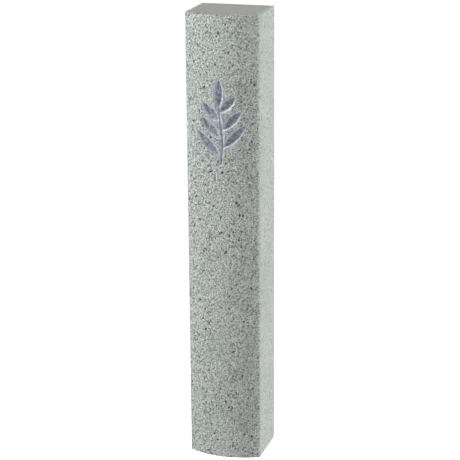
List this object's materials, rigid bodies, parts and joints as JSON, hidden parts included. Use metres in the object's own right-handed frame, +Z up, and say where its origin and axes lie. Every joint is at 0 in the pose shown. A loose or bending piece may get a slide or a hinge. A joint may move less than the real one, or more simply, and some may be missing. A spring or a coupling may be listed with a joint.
{
  "type": "mezuzah case",
  "caption": "Slim upright doorpost case with a convex stone-textured front and a painted engraved sprig; a rubber stopper in its base closes a bore that holds a rolled parchment.",
  "frame": {"origin": "centre of the base of the whole assembly, pads and liners included", "axes": "+Z up along the case's length, -Y out of the convex front, +Y out of the back towards the doorpost, +X to the right seen from the front"},
  "size_m": [0.0244, 0.0224, 0.15],
  "materials": {
    "stone_resin": "matte",
    "emblem_paint": "satin",
    "rubber": "matte",
    "parchment": "matte",
    "clear_film": "gloss",
    "foam_tape": "matte",
    "liner_paper": "satin"
  },
  "bodies": {
    "case": {"case_body": "stone_resin", "emblem_paint": "emblem_paint", "upper_pad": "foam_tape", "lower_pad": "foam_tape"},
    "stopper": {"stopper": "rubber"},
    "scroll": {"parchment_scroll": "parchment", "scroll_sleeve": "clear_film"},
    "upper_liner": {"upper_liner": "liner_paper"},
    "lower_liner": {"lower_liner": "liner_paper"}
  },
  "joints": [
    {"name": "stopper_pull", "type": "slide", "parent": "case", "child": "stopper", "axis": [0, 0, -1], "range_m": [0, 0.14]},
    {"name": "scroll_draw", "type": "slide", "parent": "case", "child": "scroll", "axis": [0, 0, -1], "range_m": [0, 0.14]},
    {"name": "upper_liner_peel", "type": "slide", "parent": "case", "child": "upper_liner", "axis": [0, 1, 0], "range_m": [0, 0.02]},
    {"name": "lower_liner_peel", "type": "slide", "parent": "case", "child": "lower_liner", "axis": [0, 1, 0], "range_m": [0, 0.02]}
  ],
  "couplings": [
    {"joint": "scroll_draw", "follows": "stopper_pull", "ratio": 1}
  ]
}
